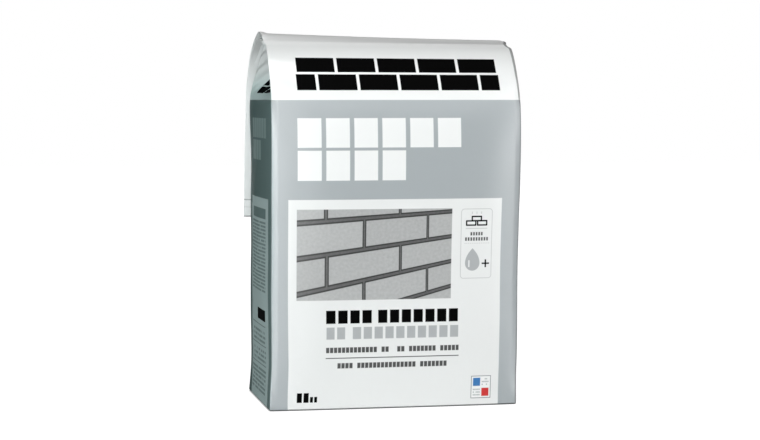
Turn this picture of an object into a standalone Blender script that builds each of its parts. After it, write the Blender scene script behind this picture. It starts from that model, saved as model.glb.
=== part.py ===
"""Cement sack standing upright: one side-gusseted film tube with a block bottom, filled to the
shoulder, pinched together above it, with the empty neck rolled over the top and hanging down behind.

Front faces -Y, +X is right, +Z up, origin at the centre of the base. Metres.
"""

import math

import bmesh
import bpy
import numpy as np

# Filled block
FACE_WIDTH = 0.220        # front panel, between its two side folds
SIDE_DEPTH = 0.130        # side panel at the base, from front fold to rear fold
BACK_DEPTH = 0.120        # the same higher up, where the sack leans forward off its heel
HEEL_HEIGHT = 0.040       # the rear panel reaches BACK_DEPTH here
FOLD_RADIUS = 0.006       # roundness of the four upright folds
BASE_RADIUS = 0.003       # roundness of the edge round the flat bottom
FRONT_CROWN = 0.006       # the panels belly out by this much at mid height
BACK_CROWN = 0.003
SIDE_CROWN = 0.002

# Gable above the shoulder
FRONT_SHOULDER = 0.262    # the front panel starts to lean back here
BACK_SHOULDER = 0.268     # and the rear panel to lean forward here
GUSSET_HALF = 0.065       # the side panels' valley lies this far from both of their folds
TUCK_HEIGHT = 0.030       # the valley is fully folded in this far above the shoulder

# Empty neck, rolled over the top and hanging behind
NECK_WIDTH = 0.220
NECK_THICKNESS = 0.0035   # two faces and the gusset folds between them, pressed together
NECK_ROUTE = [            # distance behind the front plane, and height, of the neck's middle
    (0.0400, 0.3160), (0.0400, 0.3190), (0.0465, 0.3215), (0.0600, 0.3221), (0.0813, 0.3170),
    (0.0970, 0.3092), (0.1100, 0.2975), (0.1195, 0.2820), (0.1240, 0.2640), (0.1252, 0.2430),
    (0.1263, 0.2080), (0.1258, 0.1590),
]
CREST_SLOPE = 0.0245      # the crest drops by this much per metre towards the right
FLAP_SKEW = 0.030         # and so the flap swings to the left by this much per metre of its length

# Steps round one section and along the sack
FACE_STEPS = 10
FOLD_STEPS = 2
SIDE_STEPS = 6
BLOCK_LEVELS = (BASE_RADIUS, 0.020, HEEL_HEIGHT, 0.090, 0.145, 0.195, 0.235, FRONT_SHOULDER)
GABLE_STEPS = 9
NECK_STEPS = 20


def film_material():
    """Satin printed film."""
    material = bpy.data.materials.new("printed_film")
    material.use_nodes = True
    shader = material.node_tree.nodes["Principled BSDF"]
    shader.inputs["Base Color"].default_value = (0.42, 0.46, 0.47, 1)
    shader.inputs["Roughness"].default_value = 0.38
    shader.inputs["Metallic"].default_value = 0.0
    return material


def arc(centre_x, centre_y, radius, start_degrees):
    """Quarter circle, counter-clockwise, without its last point."""
    angles = np.radians(start_degrees + 90 * np.arange(FOLD_STEPS) / FOLD_STEPS)
    return np.column_stack([centre_x + radius * np.cos(angles), centre_y + radius * np.sin(angles)])


def section(front, back, half_width, radius, crowns, tuck):
    """One closed section of the film tube, counter-clockwise seen from above.

    front and back are the (y, z) of its two faces. A rounded rectangle between them, whose faces
    belly out as parabolas, and whose sides belly out or fold in as a V.
    """
    front, back = np.array(front), np.array(back)
    depth = np.linalg.norm(back - front)
    radius = min(radius, depth / 4)
    front_crown, back_crown, side_crown = crowns
    flat = half_width - radius
    along = np.linspace(-1, 1, FACE_STEPS + 1)[:-1]
    belly = 1 - along ** 2
    up_side = np.linspace(0, 1, SIDE_STEPS + 1)[:-1]
    side_out = 4 * up_side * (1 - up_side) * side_crown - (1 - abs(2 * up_side - 1)) * tuck
    side_run = radius + up_side * (depth - 2 * radius)
    outline = np.vstack([
        np.column_stack([along * flat, -belly * front_crown]),
        arc(flat, radius, radius, -90),
        np.column_stack([half_width + side_out, side_run]),
        arc(flat, depth - radius, radius, 0),
        np.column_stack([-along * flat, depth + belly * back_crown]),
        arc(-flat, depth - radius, radius, 90),
        np.column_stack([-half_width - side_out, depth - side_run]),
        arc(-flat, radius, radius, 180),
    ])
    share = outline[:, 1:] / depth
    return np.column_stack([outline[:, 0], front + share * (back - front)])


def back_reach(height):
    """Depth of the rear panel: a heel at the base, and upright above it."""
    return BACK_DEPTH + (SIDE_DEPTH - BACK_DEPTH) * max(0.0, 1 - height / HEEL_HEIGHT) ** 2


def gable_front(t, pinch):
    """The front panel leaning back from the shoulder to the pinch: an arc, steep to flat."""
    rise = math.sin(t * math.pi / 2)
    height = FRONT_SHOULDER + rise * (pinch[1] - FRONT_SHOULDER)
    return pinch[0] * (1 - (1 - rise ** 2) ** 0.76), height


def gable_back(t, pinch):
    """The rear panel leaning forward to the pinch, upright until its own shoulder."""
    height = FRONT_SHOULDER + math.sin(t * math.pi / 2) * (pinch[1] - FRONT_SHOULDER)
    share = max(0.0, (height - BACK_SHOULDER) / (pinch[1] - BACK_SHOULDER))
    return BACK_DEPTH + (pinch[0] - BACK_DEPTH) * (1 - (1 - share ** 1.6) ** 1.3), height


def block_sections():
    """The filled block, from the flat bottom to the shoulder."""
    half = FACE_WIDTH / 2
    inset = BASE_RADIUS
    yield section((inset, 0), (SIDE_DEPTH - inset, 0), half - inset, FOLD_RADIUS, (0, 0, 0), 0)
    for height in BLOCK_LEVELS:
        fullness = math.sin(math.pi * min(1, height / 0.29)) ** 0.8
        crowns = FRONT_CROWN * fullness, BACK_CROWN * fullness, SIDE_CROWN * fullness
        yield section((0, height), (back_reach(height), height), half, FOLD_RADIUS, crowns, 0)


def gusset_tuck(front, back):
    """How far a side panel folds in as a V once its two folds have come this near to each other."""
    gap = math.dist(front, back)
    folded = math.sqrt(max(0.0, GUSSET_HALF ** 2 - (gap / 2) ** 2))
    share = min(1.0, (front[1] - FRONT_SHOULDER) / TUCK_HEIGHT)
    return 0.9 * folded * share ** 2 * (3 - 2 * share)


def gable_sections(front_pinch, back_pinch):
    """The faces lean together, and the gussets fold in between them."""
    for step in range(1, GABLE_STEPS):
        t = step / GABLE_STEPS
        half = (FACE_WIDTH + t * (NECK_WIDTH - FACE_WIDTH)) / 2
        fullness = (1 - t) * 0.4
        crowns = FRONT_CROWN * fullness, BACK_CROWN * fullness, SIDE_CROWN * fullness
        front, back = gable_front(t, front_pinch), gable_back(t, back_pinch)
        yield section(front, back, half, FOLD_RADIUS, crowns, gusset_tuck(front, back))


def neck_path(count):
    """Points and outward normals along the neck's middle, on a smooth curve through its route."""
    route = np.array(NECK_ROUTE)
    ends = np.vstack([2 * route[0] - route[1], route, 2 * route[-1] - route[-2]])
    spots = np.linspace(0, len(route) - 1, count)
    piece = np.minimum(spots.astype(int), len(route) - 2)
    t = (spots - piece)[:, None]
    a, b, c, d = (ends[piece + k] for k in range(4))
    points = 0.5 * (2 * b + (c - a) * t + (2 * a - 5 * b + 4 * c - d) * t ** 2
                    + (3 * b - a - 3 * c + d) * t ** 3)
    ahead = np.gradient(points, axis=0)
    ahead /= np.linalg.norm(ahead, axis=1)[:, None]
    return points, np.column_stack([-ahead[:, 1], ahead[:, 0]])


def slope_crest(block, gable, neck):
    """Tilt the crest down to the right, and swing the flap that hangs from it to the left."""
    for number, ring in enumerate(gable, 1):
        ring[:, 2] -= ring[:, 0] * CREST_SLOPE * number / GABLE_STEPS
    middles = np.array([ring.mean(axis=0) for ring in neck])
    hanging = np.append(0, np.cumsum(np.linalg.norm(np.diff(middles, axis=0), axis=1)))
    for ring, length in zip(neck, hanging):
        ring[:, 2] -= ring[:, 0] * CREST_SLOPE
        ring[:, 0] -= length * FLAP_SKEW
    return [*block, *gable, *neck]


def sack_sections():
    """All sections, from the base up to the pinch, over the crest and down to the welded mouth."""
    middle, outward = neck_path(NECK_STEPS)
    fronts = middle + outward * NECK_THICKNESS / 2
    backs = middle - outward * NECK_THICKNESS / 2
    neck = [section(front, back, NECK_WIDTH / 2, FOLD_RADIUS, (0, 0, 0), 0)
            for front, back in zip(fronts, backs)]
    gable = list(gable_sections(fronts[0], backs[0]))
    return slope_crest(list(block_sections()), gable, neck)


def build_sack():
    """Skin the sections into one closed body."""
    rings = sack_sections()
    mesh = bmesh.new()
    loops = [[mesh.verts.new((x, y - SIDE_DEPTH / 2, z)) for x, y, z in ring] for ring in rings]
    count = len(loops[0])
    for low, high in zip(loops, loops[1:]):
        for i in range(count):
            j = (i + 1) % count
            mesh.faces.new((low[i], low[j], high[j], high[i]))
    mesh.faces.new(reversed(loops[0]))
    mesh.faces.new(loops[-1])
    bmesh.ops.triangulate(mesh, faces=[face for face in mesh.faces if len(face.verts) > 4])
    data = bpy.data.meshes.new("cement_sack")
    mesh.to_mesh(data)
    mesh.free()
    data.shade_smooth()
    data.set_sharp_from_angle(angle=math.radians(40))
    sack = bpy.data.objects.new("cement_sack", data)
    data.materials.append(film_material())
    bpy.context.collection.objects.link(sack)


for old in list(bpy.data.objects):
    bpy.data.objects.remove(old)
build_sack()
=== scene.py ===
"""Looks of a filled cement sack: one printed film tube, standing upright in a plain pale studio.

Metres, front towards -Y, +Z up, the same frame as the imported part.
"""

import math

import bmesh
import bpy
import numpy as np
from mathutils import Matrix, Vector


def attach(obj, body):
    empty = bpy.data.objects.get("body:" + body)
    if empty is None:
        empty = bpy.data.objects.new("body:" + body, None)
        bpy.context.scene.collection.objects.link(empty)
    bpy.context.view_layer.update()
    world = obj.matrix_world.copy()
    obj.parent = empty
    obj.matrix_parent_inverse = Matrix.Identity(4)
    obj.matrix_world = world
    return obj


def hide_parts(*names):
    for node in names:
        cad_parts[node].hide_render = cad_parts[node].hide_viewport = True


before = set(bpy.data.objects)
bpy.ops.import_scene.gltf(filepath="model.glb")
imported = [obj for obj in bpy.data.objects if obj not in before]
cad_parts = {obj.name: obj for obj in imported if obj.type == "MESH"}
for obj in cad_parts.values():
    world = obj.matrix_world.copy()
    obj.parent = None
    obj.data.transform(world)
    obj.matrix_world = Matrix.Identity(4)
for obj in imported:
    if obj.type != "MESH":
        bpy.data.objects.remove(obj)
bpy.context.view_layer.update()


# The sack
# A printed tube of white polyethylene film with a gusset folded into each side and a block bottom.
# It is filled with cement powder up to the shoulder. Above that the empty tube is pinched
# together, rolled over the top and hangs down behind, welded shut.

FACE_WIDTH = 0.220          # front and rear panel
SIDE_DEPTH = 0.130          # side panel, from its front fold to its rear fold
BACK_DEPTH = 0.120          # the same above the heel, where the sack leans forward
HEEL_HEIGHT = 0.036
BASE_ROUNDING = 0.0018      # edge round the flat bottom
FRONT_LEAN = 0.234          # the front panel starts to lean back here
FRONT_FOOT = 0.0024         # its base edge stands forward by this much
SHOULDER = 0.262            # the powder ends here, and the gussets start to fold in
REAR_SHOULDER = 0.270       # the rear panel starts to lean forward here
GUSSET = SIDE_DEPTH / 2     # the side panel's valley lies this far from each fold
EDGE_FOLD = 0.0012          # a pressed fold is rounded over this much film on either side
LEAN_REACH, LEAN_CURVE = 0.0432, 0.94     # the front panel's lean, see front_lean()
SIDE_BELLY, BACK_BELLY = 0.002, 0.003     # the powder presses the side and rear panels out

# Where the two panels meet: distance behind the front plane, and height
PINCH_FRONT = (0.0352, 0.3180)
PINCH_REAR = (0.0425, 0.3168)

# Outer film of the neck, from the pinch over the crest and down to the welded mouth
NECK_ROUTE = np.array([
    (0.0352, 0.3180), (0.0362, 0.3184), (0.0385, 0.3191), (0.0425, 0.3203), (0.0475, 0.3217),
    (0.0525, 0.3231), (0.0572, 0.3239), (0.0680, 0.3228), (0.0820, 0.3186), (0.0960, 0.3118),
    (0.1065, 0.3036), (0.1160, 0.2920), (0.1225, 0.2790), (0.1256, 0.2650), (0.1268, 0.2480),
    (0.1276, 0.2280), (0.1281, 0.2080), (0.1282, 0.1850), (0.1276, 0.1580),
])
CREST_TILT = 0.0245         # the crest drops by this much per metre towards the right
CREST_SAG = 0.0007          # and by this much more in its middle than at its ends

# Columns round the tube: six straight runs and the six folds between them
RUN_COLUMNS = (20, 20, 80, 20, 20, 80)
FOLD_COLUMNS = (8, 8, 8, 8, 8, 8)
HALF = FACE_WIDTH / 2
# Place of the tube's corners on the flat film, from the middle of the front panel: rear left
# fold, left valley, both front folds, right valley, rear right fold, and the first one again
CORNERS = np.array([-HALF - SIDE_DEPTH, -HALF - GUSSET, -HALF, HALF, HALF + GUSSET,
                    HALF + SIDE_DEPTH, 3 * HALF + SIDE_DEPTH])
BEVEL_WIDTH, BEVEL_DROP = 0.0062, 0.00095    # each face turns back a little before its folds


def smooth(x, low, high):
    """0 below low, 1 above high, and the curve 3t^2 - 2t^3 between them."""
    t = np.clip((x - low) / (high - low), 0, 1)
    return t * t * (3 - 2 * t)


def spline(points, count):
    """Catmull-Rom curve through the points, resampled to count points evenly along its length."""
    ends = np.vstack([2 * points[0] - points[1], points, 2 * points[-1] - points[-2]])
    spots = np.linspace(0, len(points) - 1, 1200)
    piece = np.minimum(spots.astype(int), len(points) - 2)
    t = (spots - piece)[:, None]
    a, b, c, d = (ends[piece + k] for k in range(4))
    fine = 0.5 * (2 * b + (c - a) * t + (2 * a - 5 * b + 4 * c - d) * t ** 2
                  + (3 * b - a - 3 * c + d) * t ** 3)
    length = np.append(0, np.cumsum(np.linalg.norm(np.diff(fine, axis=0), axis=1)))
    even = np.linspace(0, length[-1], count)
    return np.column_stack([np.interp(even, length, fine[:, k]) for k in range(2)])


def levels(count, **values):
    """Rows of the sack: each value is one number, or an array with one number a row."""
    return {name: np.broadcast_to(np.asarray(value, float), (count,))
            for name, value in values.items()}


def width_and_lean(height):
    """Half width and sideways shift of the filled block: narrowest low down, wider at the base
    edge and high up, where the powder also leans to the right."""
    base = 1 - smooth(height, 0.0, 0.045)
    low = smooth(height, 0.010, 0.090)
    high = smooth(height, 0.100, 0.240)
    return (HALF - 0.0008 + 0.0005 * low + 0.0011 * high + 0.0007 * base,
            -0.0001 + 0.0005 * low + 0.0018 * smooth(height, 0.090, 0.240) - 0.0012 * base)


def front_bulge(height):
    """How far the front panel's middle stands out: a steep sine up from the base, and above 190 mm
    the curve (1 - t^2)^1.5 into the gable, t being the share of the way to 305 mm."""
    low = 0.23 + 0.77 * np.sin(math.pi / 2 * np.clip(height / 0.12, 0, 1)) ** 0.7
    t = np.clip((height - 0.190) / 0.115, 0, 1)
    return 0.0065 * low * (1 - t ** 2) ** 1.5


def front_lean(height):
    """How far back the front folds lie. The foot stands forward by a parabola. Higher up it is
    LEAN_REACH times 1 - (1 - LEAN_CURVE s^2.5)^0.6, s being the share of the height from the start
    of the lean to the pinch."""
    share = np.clip((height - FRONT_LEAN) / (PINCH_FRONT[1] - FRONT_LEAN), 0, 1)
    foot = FRONT_FOOT * np.clip(1 - height / 0.14, 0, 1) ** 2
    return LEAN_REACH * (1 - (1 - LEAN_CURVE * share ** 2.5) ** 0.6) - foot


def rear_spread(height):
    """The rear folds lie this much further out than the front ones, above the heel."""
    return 0.0013 * smooth(height, 0.004, 0.050) + 0.0009 * smooth(height, 0.215, 0.260)


def underside_levels():
    """The flat bottom: rings that shrink inwards along its mitre folds and close to a line."""
    inset = np.linspace(SIDE_DEPTH / 2, BASE_ROUNDING, 16)[:-1]
    half, shift = width_and_lean(0 * inset)
    return levels(len(inset), front_y=inset - FRONT_FOOT, front_z=0, back_y=SIDE_DEPTH - inset,
                  back_z=0, half=half - inset, rear_half=half - inset, fold=EDGE_FOLD, valley=0.02,
                  front_belly=front_bulge(0) * (1 - inset / (SIDE_DEPTH / 2)),
                  back_belly=0, side_belly=0, bevel=0, tuck=0, shift=shift)


def block_levels():
    """The filled block: a quarter round up from the bottom, then upright panels that belly out."""
    turn = np.linspace(0, math.pi / 2, 6)[:-1]
    height = np.concatenate([BASE_ROUNDING * (1 - np.cos(turn)),
                             np.linspace(BASE_ROUNDING, SHOULDER, 84)[:-1]])
    inset = np.concatenate([BASE_ROUNDING * (1 - np.sin(turn)), np.zeros(83)])
    fullness = np.sin(math.pi * np.clip(height / 0.29, 0, 1)) ** 0.8
    heel = (SIDE_DEPTH - BACK_DEPTH) * np.clip(1 - height / HEEL_HEIGHT, 0, 1) ** 2
    half, shift = width_and_lean(height)
    return levels(len(height), front_y=front_lean(height) + inset, front_z=height,
                  back_y=BACK_DEPTH + heel - inset,
                  back_z=height, half=half - inset,
                  rear_half=half - inset + rear_spread(height), fold=EDGE_FOLD, valley=0.05,
                  front_belly=front_bulge(height), back_belly=BACK_BELLY * fullness,
                  side_belly=SIDE_BELLY * fullness, bevel=smooth(height, 0.004, 0.030), tuck=0,
                  shift=shift)


def gable_levels():
    """The panels lean together above the powder, on flattening arcs, and the gussets fold in."""
    turn = np.linspace(0, math.pi / 2, 46)
    rise = np.sin(turn)
    front_z = SHOULDER + (PINCH_FRONT[1] - SHOULDER) * rise
    front_y = front_lean(front_z)
    back_z = SHOULDER + (PINCH_REAR[1] - SHOULDER) * rise
    share = np.clip((back_z - REAR_SHOULDER) / (PINCH_REAR[1] - REAR_SHOULDER), 0, 1)
    back_y = BACK_DEPTH + (PINCH_REAR[0] - BACK_DEPTH) * (1 - (1 - share ** 1.6) ** 1.3)
    gap = np.hypot(back_y - front_y, back_z - front_z)
    folded = np.sqrt(np.maximum(GUSSET ** 2 - (gap / 2) ** 2, 0))
    tuck = folded * 0.9 * smooth(front_z, 0.262, 0.292)
    slack = smooth(front_z, 0.262, 0.300)
    fullness = math.sin(math.pi * SHOULDER / 0.29) ** 0.8 * (1 - slack)
    top = smooth(front_z, 0.268, 0.300)
    pinch = smooth(front_z, 0.3140, 0.3172)
    half = HALF + 0.0008 - 0.0003 * smooth(front_z, 0.262, 0.272) - 0.0006 * pinch
    return levels(len(turn), front_y=front_y, front_z=front_z, back_y=back_y, back_z=back_z,
                  half=half, rear_half=half + rear_spread(SHOULDER) * (1 - top), fold=EDGE_FOLD,
                  valley=0.05 - 0.046 * smooth(front_z, 0.262, 0.280),
                  front_belly=front_bulge(front_z),
                  back_belly=BACK_BELLY * fullness, side_belly=SIDE_BELLY * fullness,
                  bevel=1 - smooth(front_z, 0.262, 0.312), tuck=tuck,
                  shift=0.0022 - 0.0011 * top - 0.0020 * pinch)


def neck_levels():
    """Both panels pressed together, carried along the neck's route to the weld that closes them.
    The neck swings to the left on its way. Its crest is wider at the right, and behind the crest
    its side folds are round."""
    outer = spline(NECK_ROUTE, 110)[1:]
    ahead = np.gradient(outer, axis=0)
    ahead /= np.linalg.norm(ahead, axis=1)[:, None]
    inward = np.column_stack([ahead[:, 1], -ahead[:, 0]])
    along = np.linspace(0, 1, len(outer))
    thickness = np.interp(along, [0, 0.08, 0.20, 0.40, 0.80, 0.96, 1],
                          [7, 6, 5, 2.6, 2.0, 0.7, 0]) / 1000
    inner = outer + inward * thickness[:, None]
    inner = PINCH_REAR + (inner - PINCH_REAR) * np.clip(along / 0.09, 0, 1)[:, None]
    swing = 0.0068 * along - 0.0014 * along ** 2
    wide = 0.0021 * smooth(along, 0.0, 0.07) * (1 - smooth(along, 0.18, 0.40))
    roll = smooth(along, 0.06, 0.16) * (1 - smooth(along, 0.35, 0.60))
    half = HALF - 0.0001 + wide + 0.0015 * roll
    return levels(len(outer), front_y=outer[:, 0], front_z=outer[:, 1], back_y=inner[:, 0],
                  back_z=inner[:, 1], half=half, rear_half=half, fold=EDGE_FOLD + 0.0032 * roll,
                  valley=0.002, front_belly=0, back_belly=0, side_belly=0, bevel=0,
                  tuck=0.058 * (1 - smooth(along, 0.1, 0.5)) + 0.004, shift=wide - 0.0009 - swing)


def section(row):
    """Outline of the tube at each row, on a grid of rows and columns: how far across, which share
    of the way from front to rear, and the place on the flat film.

    Six corners, the four folds and the two gusset valleys, joined by straight runs. Each corner is
    rounded by the parabola that leaves both its runs straight on. Then the faces belly out by
    1 - x^4 and turn back before the folds, and the sides belly out by a parabola.
    """
    depth = np.hypot(row["back_y"] - row["front_y"], row["back_z"] - row["front_z"])
    depth = np.maximum(depth, 1e-7)
    half, rear_half, nothing = row["half"], row["rear_half"], np.zeros_like(depth)
    valley_x = (half + rear_half) / 2 - np.minimum(row["tuck"], half)
    corners = np.stack([np.stack(point, axis=1) for point in (
        (-rear_half, depth), (-valley_x, depth / 2), (-half, nothing),
        (half, nothing), (valley_x, depth / 2), (rear_half, depth))], axis=1)
    runs = np.roll(corners, -1, axis=1) - corners
    lengths = np.linalg.norm(runs, axis=2)
    trims = np.stack([row["fold"], row["valley"], row["fold"]] * 2, axis=1)
    trims = np.minimum(trims, np.minimum(lengths, np.roll(lengths, 1, axis=1)) * 0.45)
    ahead = runs / np.maximum(lengths, 1e-9)[:, :, None]
    leaving = corners + ahead * trims[:, :, None]
    arriving = np.roll(corners - np.roll(ahead, 1, axis=1) * trims[:, :, None], -1, axis=1)
    pieces, places = [], []
    for k in range(6):
        t = np.arange(RUN_COLUMNS[k]) / RUN_COLUMNS[k]
        t = t - 0.12 * np.sin(2 * math.pi * t)      # closer together towards the folds
        start = CORNERS[k] + trims[:, k, None]
        end = CORNERS[k + 1] - trims[:, (k + 1) % 6, None]
        places.append(start + (end - start) * t)
        t = t[None, :, None]
        pieces.append(leaving[:, k, None] * (1 - t) + arriving[:, k, None] * t)
        t = np.arange(FOLD_COLUMNS[k]) / FOLD_COLUMNS[k]
        places.append(end + (CORNERS[k + 1] - end) * 2 * t)
        t = t[None, :, None]
        corner = corners[:, (k + 1) % 6, None]
        pieces.append(arriving[:, k, None] * (1 - t) ** 2 + 2 * corner * t * (1 - t)
                      + leaving[:, (k + 1) % 6, None] * t ** 2)
    places.append(CORNERS[6] + trims[:, 0, None])
    outline = np.concatenate(pieces, axis=1)
    across, inward = outline[..., 0], outline[..., 1]
    share = inward / depth[:, None]
    reach = half[:, None] + share * (rear_half - half)[:, None]
    spread = across / reach
    face_bow = 1 - np.clip(np.abs(spread), 0, 1) ** 4
    side_bow = 4 * share * (1 - share) * spread
    turned = np.clip((np.abs(across) - reach) / BEVEL_WIDTH + 1, 0, 1) ** 1.12
    turned = turned * BEVEL_DROP * row["bevel"][:, None]
    inward = (inward + (face_bow * row["back_belly"][:, None] - turned) * share
              - (face_bow * row["front_belly"][:, None] - turned) * (1 - share))
    return (across + side_bow * row["side_belly"][:, None], inward / depth[:, None],
            np.concatenate(places, axis=1))


def sack_surface():
    """Grid of points and of film places, with all rows from the underside to the mouth. The crest
    drops to the right, sags in its middle, and turns up at its left end and down at its right."""
    parts = [underside_levels(), block_levels(), gable_levels(), neck_levels()]
    row = {name: np.concatenate([part[name] for part in parts]) for name in parts[0]}
    across, share, place = section(row)
    front_y, front_z, back_y, back_z = (
        row[name][:, None] for name in ("front_y", "front_z", "back_y", "back_z"))
    x = across + row["shift"][:, None]
    y = front_y + share * (back_y - front_y) - SIDE_DEPTH / 2
    z = front_z + share * (back_z - front_z)
    steps = np.hypot(np.diff(row["front_y"]), np.diff(row["front_z"]))
    along = np.append(0, np.cumsum(steps))
    first = len(parts[0]["front_y"])
    along -= along[first] + BASE_ROUNDING * (math.pi / 2 - 1)
    neck = len(row["front_y"]) - len(parts[3]["front_y"])
    pinch = along[neck - 1]
    tilt = smooth(along, SHOULDER, pinch + 0.012) * (
        0.35 + 0.25 * smooth(along, pinch - 0.012, pinch)
        + 0.40 * smooth(along, pinch, pinch + 0.014))
    sag = CREST_SAG * (1 - (across / HALF) ** 2)
    crest = smooth(along, pinch, pinch + 0.008) * (1 - smooth(along, pinch + 0.025, pinch + 0.05))
    tips = 0.0012 * smooth(-across, 0.1035, 0.1095) - 0.0010 * smooth(across, 0.1060, 0.1115)
    z = z - (across * CREST_TILT + sag) * tilt[:, None] + tips * crest[:, None]
    return np.stack([x, y, z], axis=2), place, along


def ripple(points, place, along):
    """Unevenness of the film, moved along the surface's normal. There are long crossing waves over
    the powder, slanting puckers where the gussets fold in, a step on the flap where the folded
    gussets end, and a crease down the inner film at the roll's left end."""
    tangent_u = np.gradient(points, axis=1)
    tangent_v = np.gradient(points, axis=0)
    normal = np.cross(tangent_u, tangent_v)
    normal /= np.maximum(np.linalg.norm(normal, axis=2), 1e-12)[..., None]
    u, v = place[:, :-1] * 1000, along[:, None] * 1000
    waves = (np.sin(u / 23 + v / 61 + 0.7) * np.sin(v / 34 - u / 90 + 1.9)
             + 0.6 * np.sin(u / 13 - v / 47 + 2.2) * np.sin(v / 19 + u / 71)
             + 0.35 * np.sin(u / 7.3 + v / 26) * np.sin(v / 11 + 0.4))
    sides = smooth(np.abs(u), 106, 118)
    standing = smooth(v, 8, 40) * (1 - smooth(v, 300, 330))
    height = waves * (0.00010 + 0.00022 * sides) * standing
    gusset = smooth(np.abs(u), 122, 150) * (1 - smooth(np.abs(u), 238, 243))
    slant = (v - 303 + 1.1 * (np.abs(u) - 234)) / 2.5
    height = height + gusset * smooth(v, 266, 288) * (1 - smooth(v, 316, 332)) * (
        0.00060 * np.sin(slant) + 0.00025 * np.sin(1.7 * slant + 1.0))
    across = np.abs(points[..., 0] + 0.004)
    layers = smooth(across, 0.044, 0.046) * (1 - smooth(across, 0.098, 0.106))
    height = height + 0.0004 * layers * smooth(v, 372, 385) * (1 - smooth(v, 548, 556))
    crease = np.exp(-((u - 453.3) / 1.9) ** 2) * smooth(v, 350, 362) * (1 - smooth(v, 392, 420))
    return points + normal * (height - 0.0024 * crease)[..., None]


def film_mesh(name, points, place, along):
    """Closed mesh of the grid. The tube closes on itself, its bottom and mouth close to lines."""
    rows, columns = points.shape[:2]
    number = np.arange(rows * columns).reshape(rows, columns)
    following = np.roll(number, -1, axis=1)
    quads = np.stack([number[:-1], following[:-1], following[1:], number[1:]], axis=2)
    quads = quads.reshape(-1, 4)
    left, right = place[:, :-1], place[:, 1:]
    low = np.broadcast_to(along[:-1, None], (rows - 1, columns))
    high = np.broadcast_to(along[1:, None], (rows - 1, columns))
    places = np.stack([left[:-1], low, right[:-1], low, right[1:], high, left[1:], high], axis=2)
    mesh = bpy.data.meshes.new(name)
    mesh.from_pydata(points.reshape(-1, 3).tolist(), [], quads.tolist())
    film = mesh.uv_layers.new(name="film")
    film.uv.foreach_set("vector", places.reshape(-1).astype(np.float32))
    work = bmesh.new()
    work.from_mesh(mesh)
    bmesh.ops.remove_doubles(work, verts=work.verts, dist=2e-6)
    work.to_mesh(mesh)
    work.free()
    mesh.shade_smooth()
    sack = bpy.data.objects.new(name, mesh)
    bpy.context.collection.objects.link(sack)
    return sack


surface, film_place, film_along = sack_surface()
surface = ripple(surface, film_place, film_along)
sack = film_mesh("cement_sack_film", surface, film_place, film_along)


class Field:
    """A number that varies over the surface. Arithmetic on it adds Math nodes to its material."""

    def __init__(self, finish, socket):
        self.finish, self.socket = finish, socket

    def __add__(self, other):
        return self.finish.math("ADD", self, other)

    def __sub__(self, other):
        return self.finish.math("SUBTRACT", self, other)

    def __rsub__(self, other):
        return self.finish.math("SUBTRACT", other, self)

    def __mul__(self, other):
        return self.finish.math("MULTIPLY", self, other)

    def __truediv__(self, other):
        return self.finish.math("DIVIDE", self, other)

    def __mod__(self, other):
        return self.finish.math("FLOORED_MODULO", self, other)

    def __pow__(self, other):
        return self.finish.math("POWER", self, other)

    def __abs__(self):
        return self.finish.math("ABSOLUTE", self)

    def __and__(self, other):
        return self.finish.math("MINIMUM", self, other)

    def __or__(self, other):
        return self.finish.math("MAXIMUM", self, other)

    def __gt__(self, other):
        return self.finish.math("GREATER_THAN", self, other)

    __radd__, __rmul__ = __add__, __mul__


class Finish:
    """A node material. node() adds any node: its settings are made first, and then its sockets."""

    def __init__(self, name):
        self.material = bpy.data.materials.new(name)
        self.material.use_nodes = True
        self.nodes = self.material.node_tree.nodes
        self.links = self.material.node_tree.links
        self.nodes.clear()

    def node(self, kind, settings, sockets):
        made = self.nodes.new(kind)
        for name, value in settings.items():
            setattr(made, name, value)
        for name, value in sockets.items():
            if isinstance(value, Field):
                value = value.socket
            if isinstance(value, bpy.types.NodeSocket):
                self.links.new(value, made.inputs[name])
            else:
                made.inputs[name].default_value = value
        return made

    def math(self, operation, *values, clamp=False):
        made = self.node("ShaderNodeMath", {"operation": operation, "use_clamp": clamp},
                         dict(enumerate(values)))
        return Field(self, made.outputs[0])

    def clamp(self, value):
        """The value, kept between 0 and 1."""
        return self.math("ADD", value, 0, clamp=True)

    def mix(self, mask, below, above):
        """The colour below, with the colour above where the mask is 1."""
        made = self.node("ShaderNodeMix", {"data_type": "RGBA"}, {0: mask, 6: below, 7: above})
        return made.outputs[2]

    def noise(self, place, scale, detail):
        made = self.node("ShaderNodeTexNoise", {}, {
            "Vector": place, "Scale": scale, "Detail": detail})
        return Field(self, made.outputs[0])


# Film and printed inks, linear colours. Some of them carry painted shade or painted light, as
# noted
WHITE_FILM = (0.83, 0.83, 0.825, 1)
SHADED_SLACK_FILM = (0.79, 0.79, 0.785, 1)     # painted shade: greyer just above the powder, where the film leans back from the light
PAINTED_LIGHT_EMPTY_FILM = (0.95, 0.95, 0.945, 1)     # painted light: whiter where light would pass through the film, with no powder behind it
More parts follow.
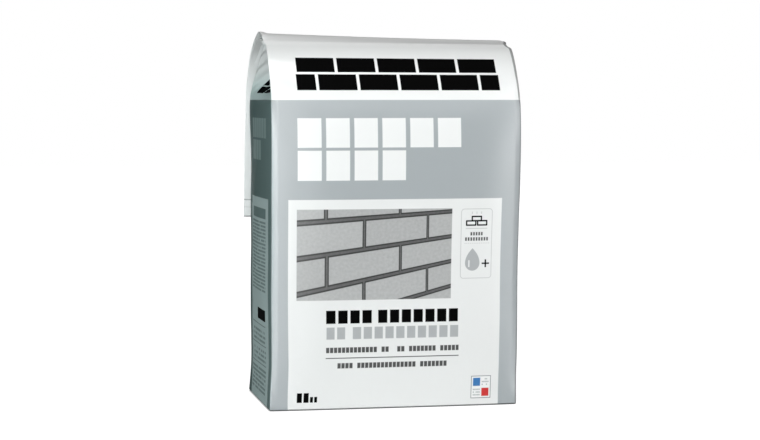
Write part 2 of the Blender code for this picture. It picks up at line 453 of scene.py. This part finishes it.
# Colours named for the side panel are painted shade: darker, cooler copies of the film's white,
# the grey ink, the words and the label's white, as the side looks in shade
SHADED_SIDE_WHITE = (0.57, 0.68, 0.67, 1)
GREY_INK = (0.360, 0.386, 0.402, 1)
SHADED_SIDE_GREY_INK = (0.182, 0.248, 0.245, 1)
SHADED_SIDE_REAR_INK = (0.110, 0.163, 0.161, 1)        # painted shade: the side's grey ink, darker still towards the rear fold
SHADED_SIDE_WORDS = (0.31, 0.40, 0.395, 1)
LABEL_WHITE = (0.775, 0.775, 0.77, 1)
SHADED_SIDE_LABEL_WHITE = (0.520, 0.620, 0.615, 1)
PALE_GREY_INK = (0.40, 0.41, 0.42, 1)
FAINT_INK = (0.54, 0.54, 0.54, 1)
TYPE_INK = (0.05, 0.05, 0.05, 1)
BLACK_INK = (0.002, 0.002, 0.002, 1)
BLUE_INK = (0.02, 0.16, 0.42, 1)
RED_INK = (0.58, 0.012, 0.012, 1)
FRAME_INK = (0.16, 0.16, 0.18, 1)
WELD_SHADE = (0.36, 0.36, 0.36, 1)
RIM_SHADE = (0.10, 0.10, 0.10, 1)
BASE_SHADE = (0.03, 0.035, 0.035, 1)

# Places on the film, metres from the middle of a panel and up from the base edge
INK_EDGE = 0.00035
GREY_TOP = 0.268
LABEL = (-0.0957, 0.0927, -0.010, 0.1822)
PICTURE = (-0.0884, 0.0477, 0.0953, 0.1738)
BRICK, COURSE = 0.628, 0.0308   # a brick's length as a share of the picture, a course's height
WALL_TOP = 0.1928               # the vanishing point of the level joints lies this high
SHRINK = 0.297                  # the wall looks this share lower at the picture's right edge
SIDE_LABEL = (0.0148, 0.1128, -0.010, 0.182)
PANEL = (0.0558, 0.0844, 0.1122, 0.1733)
STACK = (0.0700, 0.1628)            # middle of the upper pictogram
DROP = (0.0668, 0.1256, 0.0066, 0.0130)     # middle of the lower one, its radius, its tip's height
TILE = (0.0677, 0.0858, 0.0065, 0.0264)
MOUTH_WELD, MOUTH_LINE, BASE_WELD = 0.5425, 0.5493, -0.0560     # heights of the pressed lines


class Print(Finish):
    """Shapes of ink on the flat film, each one a mask that is 1 where the ink lies."""

    def inked(self, inside):
        """1 where a signed distance into the shape is above 0, with an edge as soft as print."""
        return self.math("MULTIPLY_ADD", inside, 1 / INK_EDGE, 0.5, clamp=True)

    def patch(self, x, y, box):
        """Rectangle: the least distance from its four edges."""
        left, right, bottom, top = box
        return self.inked((x - left) & (right - x) & (y - bottom) & (top - y))

    def rounded(self, x, y, box, radius):
        """Rectangle with round corners, as a signed distance that is positive inside."""
        left, right, bottom, top = box
        over = abs(x - (left + right) / 2) - ((right - left) / 2 - radius)
        up = abs(y - (bottom + top) / 2) - ((top - bottom) / 2 - radius)
        corner = ((over | 0.0) ** 2.0 + (up | 0.0) ** 2.0) ** 0.5
        return radius - corner - ((over | up) & 0.0)

    def outline(self, inside, width):
        """The band of a given width just inside a shape's edge."""
        return self.inked(inside) * (1 - self.inked(inside - width))

    def blocks(self, x, y, box, count, bare=0.16, offset=0.0):
        """Row of equal blocks, with a share of each pitch left bare between them."""
        left, right, bottom, top = box
        pitch = (right - left) / count
        inside = ((x - left) / pitch + offset) % 1.0
        gap = (0.5 - bare / 2 - abs(inside - 0.5)) * pitch
        return self.inked(gap & (x - left) & (right - x) & (y - bottom) & (top - y))

    def lines(self, x, y, box, pitch, ink, letter, seed, spaces=0.17):
        """Small type as rows of letter-size bars, with places left bare for the word spaces."""
        left, right, bottom, top = box
        row = (y - bottom) / pitch
        column = (x - left) / letter
        shown = self.chance(column, row, seed) > spaces
        up = (ink / 2 - abs((row % 1.0) - 0.5)) * pitch
        over = (0.40 - abs((column % 1.0) - 0.5)) * letter
        area = (x - left) & (right - x) & (y - bottom) & (top - y)
        return self.inked(up & over & area) * shown

    def chance(self, column, row, seed):
        """A number between 0 and 1 for each cell of a grid."""
        cell = self.node("ShaderNodeCombineXYZ", {}, {
            0: self.whole(column), 1: self.whole(row), 2: seed})
        made = self.node("ShaderNodeTexWhiteNoise", {"noise_dimensions": "3D"}, {
            "Vector": cell.outputs[0]})
        return Field(self, made.outputs["Value"])

    def whole(self, value):
        """The whole number at or below the value."""
        return self.math("FLOOR", value)

    def brick_picture(self, u, v, grit):
        """A plain wall in running bond, seen in perspective from its left end.

        All level joints run to one vanishing point right of the picture. Where a place is a share
        s of the picture's width in, the wall is 1 - SHRINK s as high as at its left edge, and
        that also spaces the upright joints. A joint is darkest along its two edges.
        """
        left, right, bottom, top = PICTURE
        share = (u - left) / (right - left)
        near = 1 - SHRINK * share
        course = (WALL_TOP - v) / (near * COURSE)
        top_row = self.math("LESS_THAN", course, 1.0)
        stagger = 0.677 - (self.whole(course) % 2.0) * 0.464 + top_row * 0.014
        length = share / near / BRICK + stagger
        level = 0.5 - abs((course % 1.0) - 0.5)
        upright = 0.5 - abs((length % 1.0) - 0.5)
        into_level = (0.084 - level) / 0.084
        into_upright = (0.023 - upright) / 0.023
        into = into_level | into_upright
        joint = self.math("MULTIPLY_ADD", into, 6.0, 0.9, clamp=True)
        inner = self.math("MULTIPLY_ADD", into, 3.0, -1.1, clamp=True)
        brick = 0.400 + 0.05 * self.chance(length, course, 3.0) + 0.16 * (grit - 0.5)
        mortar = 0.008 + (0.090 + 0.10 * (grit - 0.5)) * inner
        tone = brick + (mortar - brick) * joint
        return self.node("ShaderNodeCombineColor", {}, {0: tone, 1: tone, 2: tone}).outputs[0]


def print_front(ink, u, v, colour, grit):
    """Print of the front panel. Returns the colour, and where solid black lies."""
    # large white blocks on the grey field, and two courses of black bricks above it
    colour = ink.mix(ink.blocks(u, v, (-0.0898, 0.0568, 0.2269, 0.2523), 6)
                     | ink.blocks(u, v, (-0.0898, 0.0080, 0.1986, 0.2244), 4), colour, WHITE_FILM)
    black = (ink.blocks(u, v, (-0.087, 0.092, 0.2932, 0.3078), 5, 0.07)
             | ink.blocks(u, v, (-0.087, 0.092, 0.2766, 0.2912), 5, 0.07, 0.5))
    colour = ink.mix(ink.patch(u, v, PICTURE), colour, ink.brick_picture(u, v, grit))

    # panel of pictograms: a stack of blocks over a ground line, two lines, dashes, a drop, a plus
    colour = ink.mix(ink.outline(ink.rounded(u, v, PANEL, 0.003), 0.0006), colour, FAINT_INK)
    x, y = STACK
    lower = ink.rounded(abs(u - x), v, (0.0002, 0.0098, y - 0.0046, y + 0.0004), 0.0006)
    upper = ink.rounded(u, v, (x - 0.0048, x + 0.0048, y - 0.0008, y + 0.0042), 0.0006)
    black = black | ink.outline(lower, 0.0013) | ink.outline(upper, 0.0013)
    faint = (ink.patch(u, v, (x - 0.0098, x + 0.0098, y - 0.0072, y - 0.0065))
             | ink.blocks(u, v, (x - 0.0063, x + 0.0063, y + 0.0057, y + 0.0078), 3, 0.84)
             | ink.blocks(u, v, (0.0590, 0.0823, 0.1427, 0.1433), 14, 0.45))
    x, y, radius, tip = DROP
    below, above = ink.math("MINIMUM", v - y, 0.0), ((v - y) / tip) | 0.0
    drop = ink.inked(radius * (1 - above * above) - ((u - x) ** 2.0 + below ** 2.0) ** 0.5)
    colour = ink.mix(faint, colour, FAINT_INK)
    colour = ink.mix(drop, colour, PALE_GREY_INK)
    colour = ink.mix(ink.patch(u, v, (0.0632, 0.0643, 0.1222, 0.1282)), colour, LABEL_WHITE)
    black = (black | ink.patch(u, v, (0.0754, 0.0822, 0.1246, 0.1259))
             | ink.patch(u, v, (0.0781, 0.0795, 0.1218, 0.1287)))
    small = (ink.blocks(u, v, (0.0642, 0.0761, 0.1498, 0.1527), 5, 0.36)
             | ink.blocks(u, v, (0.0594, 0.0811, 0.1452, 0.1482), 9, 0.36))

    # headings of two words each, small lines, a rule, and a mark in the lower left corner
    black = (black | ink.blocks(u, v, (-0.0640, -0.0215, 0.0750, 0.0864), 4, 0.22)
             | ink.blocks(u, v, (-0.0182, 0.0554, 0.0750, 0.0864), 7, 0.22))
    colour = ink.mix(ink.blocks(u, v, (-0.0635, -0.0450, 0.0614, 0.0718), 2, 0.24)
                     | ink.blocks(u, v, (-0.0405, 0.0558, 0.0614, 0.0718), 10, 0.24),
                     colour, PALE_GREY_INK)
    small = (small
             | ink.lines(u, v, (-0.0631, 0.0553, 0.0482, 0.0557), 0.0075, 0.62, 0.0035, 1.0, 0.12)
             | ink.lines(u, v, (-0.0529, 0.0452, 0.0346, 0.0421), 0.0075, 0.62, 0.0035, 2.0, 0.12)
             | ink.patch(u, v, (-0.0630, 0.0555, 0.0446, 0.0454)))
    black = (black | ink.blocks(u, v, (-0.0874, -0.0757, 0.0068, 0.0152), 2, 0.24)
             | ink.blocks(u, v, (-0.0757, -0.0684, 0.0068, 0.0118), 2, 0.28))

    # framed tile with a blue and a red square
    left, right, bottom, top = TILE
    edge = ink.rounded(u, v, TILE, 0.0002)
    colour = ink.mix(ink.inked(edge), colour, WHITE_FILM)
    colour = ink.mix(ink.outline(edge, 0.0006), colour, FRAME_INK)
    near_side, far_side = (left + 0.0018, left + 0.0084), (right - 0.0084, right - 0.0018)
    low, high = (bottom + 0.0018, bottom + 0.0090), (top - 0.0090, top - 0.0018)
    colour = ink.mix(ink.patch(u, v, near_side + high), colour, BLUE_INK)
    colour = ink.mix(ink.patch(u, v, far_side + low), colour, RED_INK)
    colour = ink.mix(ink.lines(u, v, far_side + high, 0.0024, 0.5, 0.0013, 5.0)
                     | ink.lines(u, v, near_side + low, 0.0024, 0.5, 0.0013, 6.0),
                     colour, PALE_GREY_INK)
    return ink.mix(small, colour, TYPE_INK), black


def print_side(ink, s, v, colour):
    """Print of a side panel, s behind its front fold, in the side's painted-shade colours. Returns
    the colour, and where black lies.
    """
    words = (ink.blocks(s, v, (0.024, 0.108, 0.2345, 0.2519), 6)
             | ink.blocks(s, v, (0.054, 0.108, 0.2150, 0.2325), 4))
    colour = ink.mix(words, colour, SHADED_SIDE_WORDS)
    dark = (ink.patch(s, v, (0.0275, 0.099, 0.1640, 0.1730))
            | ink.lines(s, v, (0.0275, 0.104, 0.0990, 0.1620), 0.00315, 0.56, 0.0030, 3.0, 0.10)
            | ink.lines(s, v, (0.0320, 0.098, 0.0530, 0.0650), 0.0042, 0.50, 0.0030, 7.0, 0.30)
            | ink.lines(s, v, (0.0320, 0.098, 0.0360, 0.0480), 0.0042, 0.50, 0.0030, 8.0, 0.30)
            | ink.lines(s, v, (0.0290, 0.108, 0.0085, 0.0310), 0.0038, 0.56, 0.0030, 4.0, 0.10))
    for rule in (0.0690, 0.0512, 0.0340):
        dark = dark | ink.patch(s, v, (0.030, 0.108, rule, rule + 0.0008))
    colour = ink.mix(dark, colour, SHADED_SIDE_GREY_INK)
    black = (ink.patch(s, v, (0.030, 0.072, 0.0740, 0.0840))
             | ink.blocks(s, v, (0.022, 0.108, 0.2742, 0.2803), 4, 0.07)
             | ink.blocks(s, v, (0.022, 0.108, 0.2812, 0.2872), 4, 0.07, 0.5))
    return colour, black


def print_rear(ink, b, v, colour):
    """Print of the rear panel, b from its middle: short headings over rows of small type."""
    colour = ink.mix(ink.lines(b, v, (-0.080, 0.080, 0.020, 0.110), 0.0060, 0.42, 0.0030, 9.0),
                     colour, TYPE_INK)
    black = ink.blocks(b, v, (-0.080, 0.040, 0.122, 0.136), 11, 0.22)
    return colour, black


def printed_film():
    """The film: white, grey up to the shoulder, with a white label and print on each panel,
    painted shade on the side panels, the gable top, the base edge and the right front fold, and
    painted light on the neck, the flap and the gusset tops.
    """
    ink = Print("printed_film")
    film = ink.node("ShaderNodeUVMap", {"uv_map": "film"}, {}).outputs[0]
    place = ink.node("ShaderNodeSeparateXYZ", {}, {0: film})
    u, v = Field(ink, place.outputs[0]), Field(ink, place.outputs[1])
    s = abs(u) - HALF                   # on a side panel, distance behind the front fold
    b = u - (2 * HALF + SIDE_DEPTH)     # on the rear panel, distance from its middle
    spot = ink.node("ShaderNodeTexCoord", {}, {}).outputs["Object"]
    grit = ink.noise(film, 420.0, 4.0)

    side = ink.inked(s) * ink.inked(SIDE_DEPTH - s)
    # Painted shade and light: the film greyer on the gable just above the powder, and whiter on
    # the neck, the flap and the gusset tops, where light would pass through it
    slack = ink.clamp((v - 0.290) / 0.018)
    empty = ink.clamp((v - 0.322) / 0.008) | side * ink.clamp((v - 0.275) / 0.025)
    white = ink.mix(slack, ink.mix(side, WHITE_FILM, SHADED_SIDE_WHITE), SHADED_SLACK_FILM)
    white = ink.mix(empty, white, PAINTED_LIGHT_EMPTY_FILM)
    # painted shade: the side's grey ink darkens towards the rear fold
    shaded_side_ink = ink.mix(ink.clamp(s / SIDE_DEPTH), SHADED_SIDE_GREY_INK, SHADED_SIDE_REAR_INK)
    colour = ink.mix(ink.inked(GREY_TOP - v), white, ink.mix(side, GREY_INK, shaded_side_ink))
    left, right, bottom, top = LABEL
    left = left + ink.clamp(1 - v / 0.09) ** 2.0 * 0.0014      # it runs in near the base
    label = ink.patch(u, v, (left, right, bottom, top)) | ink.patch(b, v, LABEL)
    colour = ink.mix(label, colour, LABEL_WHITE)
    # the side label in its painted-shade white
    colour = ink.mix(ink.patch(s, v, SIDE_LABEL), colour, SHADED_SIDE_LABEL_WHITE)
    colour, black = print_front(ink, u, v, colour, grit)
    colour, side_black = print_side(ink, s, v, colour)
    colour, rear_black = print_rear(ink, b, v, colour)
    black = black | side_black | rear_black
    colour = ink.mix(black, colour, BLACK_INK)

    # pressed lines of the welds that close the mouth and the underside
    pressed = (ink.inked(0.0006 - abs(v - MOUTH_WELD))
               | ink.inked(0.0003 - abs(v - MOUTH_LINE)) * 0.5
               | ink.inked(0.0006 - abs(v - BASE_WELD)))
    colour = ink.mix(pressed * 0.7, colour, WELD_SHADE)

    # painted shade: thin dark lines along the base edge, where the film turns under, and along the
    # right front fold, where it turns away from the light, stronger up the gable and near the base
    base = ink.inked(0.0011 - abs(v))
    colour = ink.mix(base * 0.8, colour, BASE_SHADE)
    gable = ink.clamp((v - 0.262) / 0.05)
    right_fold_shade = ink.inked(0.0014 - abs(s + 0.0003 + gable * 0.0006) + gable * 0.0006)
    right_fold_shade = right_fold_shade * ink.clamp(u / 0.001)
    deep = ink.clamp((v - 0.262) / 0.01) * 0.5 + ink.clamp(1 - v / 0.10) * 0.35 + 0.2
    colour = ink.mix(right_fold_shade * deep, colour, RIM_SHADE)

    bump = ink.node("ShaderNodeBump", {}, {
        "Strength": 0.25, "Distance": 0.0004,
        "Height": ink.noise(spot, 260.0, 3.0) - pressed * 2.0})
    shader = ink.node("ShaderNodeBsdfPrincipled", {}, {
        "Base Color": colour, "Roughness": 0.55, "IOR": 1.06,
        "Coat Weight": (1 - black) * (1 - side * 0.85), "Coat Roughness": 0.28, "Coat IOR": 1.8,
        "Normal": bump.outputs[0]})
    ink.node("ShaderNodeOutputMaterial", {}, {"Surface": shader.outputs[0]})
    return ink.material


sack.data.materials.append(printed_film())
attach(sack, "root")
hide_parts("cement_sack")


# The floor
# A polished white studio floor. To the camera it glows evenly white, with a painted contact shadow
# where the sack touches it. To the lights it is polished white, and low down it mirrors them onto
# the film.

floor_mesh = bpy.data.meshes.new("studio_floor")
floor_mesh.from_pydata([(-6, -6, 0), (6, -6, 0), (6, 6, 0), (-6, 6, 0)], [], [(0, 1, 2, 3)])
floor = bpy.data.objects.new("studio_floor", floor_mesh)
bpy.context.collection.objects.link(floor)
paint = Finish("pale_floor")
seen = paint.node("ShaderNodeLightPath", {}, {}).outputs["Is Camera Ray"]
polished = paint.node("ShaderNodeBsdfPrincipled", {}, {
    "Base Color": (0.80, 0.80, 0.80, 1), "Roughness": 0.15, "IOR": 1.5})
# painted contact shadow: ambient occlusion darkens the floor's glow within a few millimetres of
# the sack
near = paint.node("ShaderNodeAmbientOcclusion", {"samples": 8}, {"Distance": 0.0018})
bright = paint.node("ShaderNodeEmission", {}, {"Color": near.outputs["Color"], "Strength": 1.15})
painted = paint.node("ShaderNodeMixShader", {}, {
    0: seen, 1: polished.outputs[0], 2: bright.outputs[0]})
paint.node("ShaderNodeOutputMaterial", {}, {"Surface": painted.outputs[0]})
floor_mesh.materials.append(paint.material)


# Studio light
# Tall strips left and right of the camera draw the sheen along the front folds, and low boxes
# beside them, a cool one on the left, fill the sides. A bar and a box above light the top, and
# two boxes behind the sack light its crest and its back.

def softbox(name, azimuth, elevation, distance, width, height, power, colour=(1, 1, 1)):
    """Area light on a sphere round the sack's middle: degrees from the front towards the right,
    and degrees up."""
    turn, rise = math.radians(azimuth), math.radians(elevation)
    aim = Vector((0, 0, 0.16))
    place = aim + distance * Vector((
        math.sin(turn) * math.cos(rise), -math.cos(turn) * math.cos(rise), math.sin(rise)))
    data = bpy.data.lights.new(name, "AREA")
    data.shape, data.size, data.size_y = "RECTANGLE", width, height
    data.energy, data.color = power, colour
    lamp = bpy.data.objects.new(name, data)
    lamp.location = place
    lamp.rotation_euler = (aim - place).to_track_quat("-Z", "Y").to_euler()
    bpy.context.collection.objects.link(lamp)


softbox("low_left_softbox", -45, 6, 2.2, 0.5, 0.7, 8.2, (0.74, 1.0, 0.99))
softbox("far_left_strip", -30, 6, 2.2, 0.3, 0.7, 7.6)
softbox("left_strip", -15, 18, 2.2, 0.16, 1.6, 9.6)
softbox("near_strip", -4, 18, 2.2, 0.16, 1.6, 4.1)
softbox("front_bar", 8, 28, 2.2, 1.2, 0.3, 2.4)
softbox("right_strip", 34, 18, 2.2, 0.16, 1.6, 7.0)
softbox("low_right_softbox", 45, 6, 2.2, 0.5, 0.7, 4.4)
softbox("high_softbox", -8, 60, 2.2, 0.9, 0.6, 15.6)
softbox("rear_softbox", 180, 60, 2.2, 1.2, 1.2, 0.8)
softbox("rear_right_softbox", 130, 15, 2.2, 1.0, 1.2, 14.0)

world = bpy.data.worlds.new("studio")
bpy.context.scene.world = world
world.use_nodes = True
nodes, links = world.node_tree.nodes, world.node_tree.links
nodes.clear()
seen = nodes.new("ShaderNodeLightPath")
tint = nodes.new("ShaderNodeMix")
tint.data_type = "RGBA"
tint.inputs[6].default_value = (0.002, 0.002, 0.002, 1)
tint.inputs[7].default_value = (1, 1, 1, 1)
glow = nodes.new("ShaderNodeBackground")
end = nodes.new("ShaderNodeOutputWorld")
links.new(seen.outputs["Is Camera Ray"], tint.inputs[0])
links.new(tint.outputs[2], glow.inputs[0])
links.new(glow.outputs[0], end.inputs[0])


# The camera
# At the photograph's angle: a little left of the front, slightly above the middle, long lens.

lens = bpy.data.cameras.new("camera")
lens.lens, lens.sensor_width = 98.32, 36
lens.clip_end = 50
camera = bpy.data.objects.new("camera", lens)
camera.location = (-0.3672, -1.8262, 0.2732)
camera.rotation_euler = (math.radians(90 - 3.48), 0, math.radians(-11.35))
bpy.context.collection.objects.link(camera)
bpy.context.scene.camera = camera
bpy.context.scene.view_settings.view_transform = "Standard"
